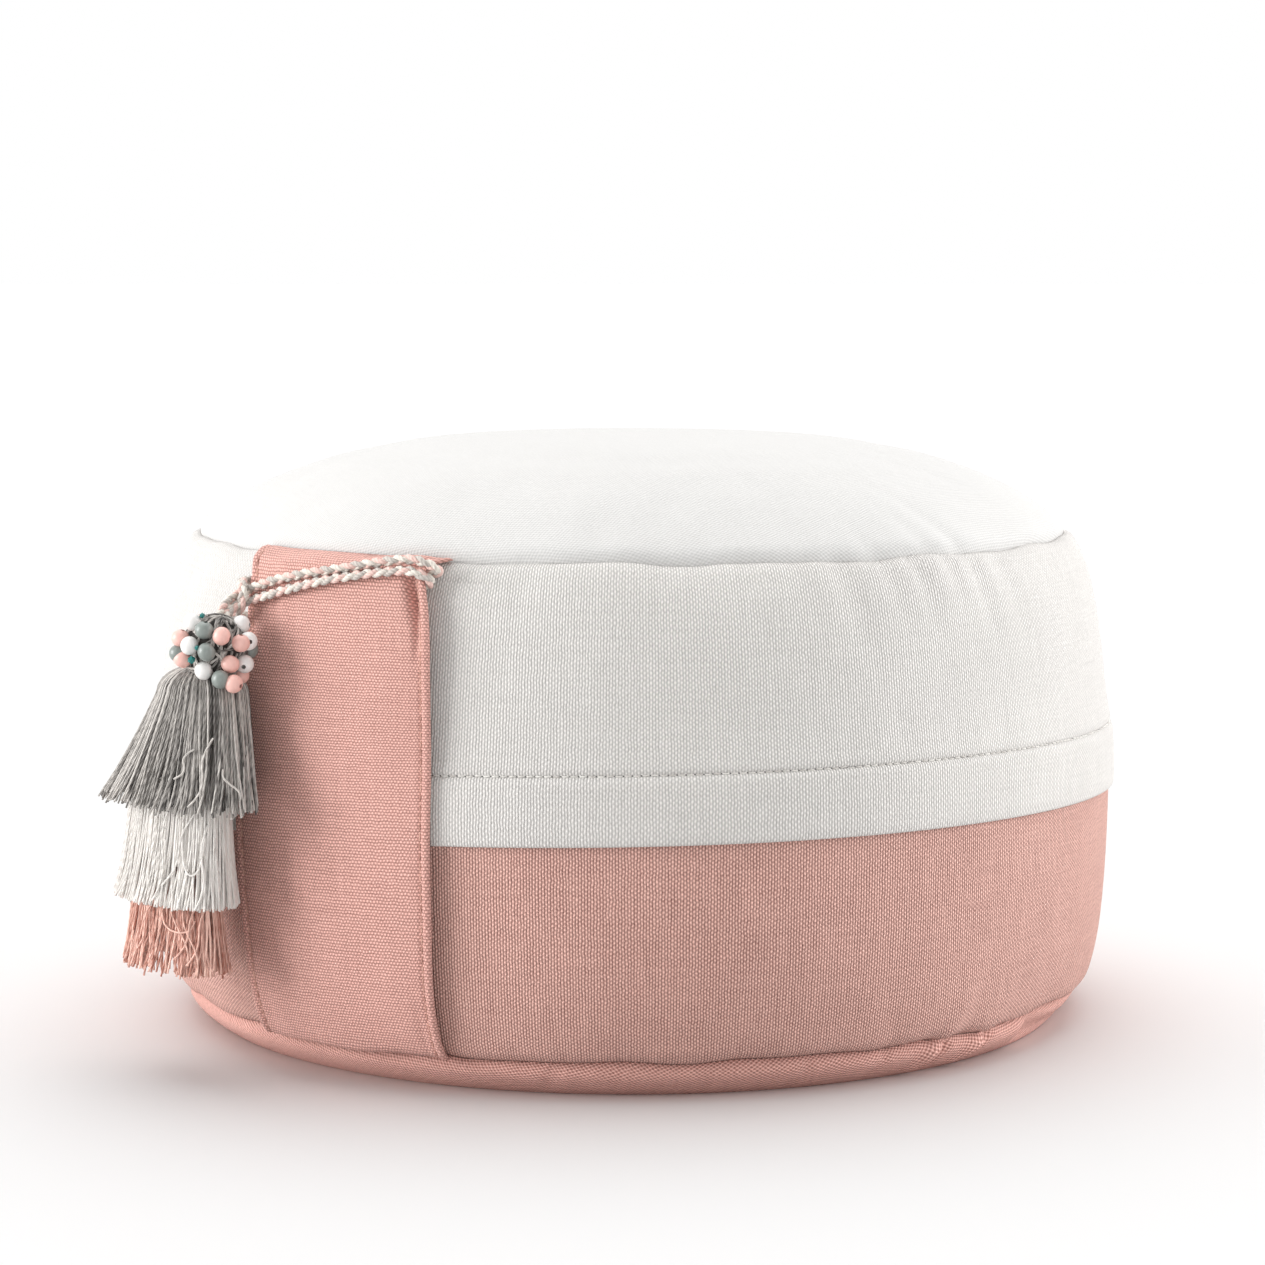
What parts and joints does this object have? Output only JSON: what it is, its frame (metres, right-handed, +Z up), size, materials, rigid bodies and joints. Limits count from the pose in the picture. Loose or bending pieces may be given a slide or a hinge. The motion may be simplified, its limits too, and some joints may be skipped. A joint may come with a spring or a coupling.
{
  "type": "zafu meditation cushion",
  "caption": "Round, firmly filled meditation cushion in two-tone canvas, with a sewn-down side handle strap and a tiered yarn tassel on a plaited loop with wooden beads.",
  "frame": {"origin": "centre of the flat round base, on the surface that the cushion rests on", "axes": "+Z up through the middle of the crown; -Y towards the picture's camera; +X to the camera's right, so the strap and tassel are at the front left"},
  "size_m": [0.3524, 0.3496, 0.2059],
  "materials": {
    "pink_canvas": "dusty pink plain-weave cotton canvas",
    "white_canvas": "natural white plain-weave cotton canvas",
    "plaited_cord": "plait of cream, pink and grey cotton strands",
    "painted_wood": "satin painted wooden beads in white, pink and grey",
    "grey_yarn": "loose twisted cotton yarn",
    "cream_yarn": "loose twisted cotton yarn",
    "salmon_yarn": "loose twisted cotton yarn"
  },
  "bodies": {
    "root": {"cushion_body": "pink_canvas", "base_panel": "pink_canvas", "upper_band": "white_canvas", "top_panel": "white_canvas", "handle_strap": "pink_canvas", "hang_loop": "plaited_cord", "bead_cluster": "painted_wood", "tier_grey": "grey_yarn", "tier_cream": "cream_yarn", "tier_salmon": "salmon_yarn"}
  },
  "joints": []
}
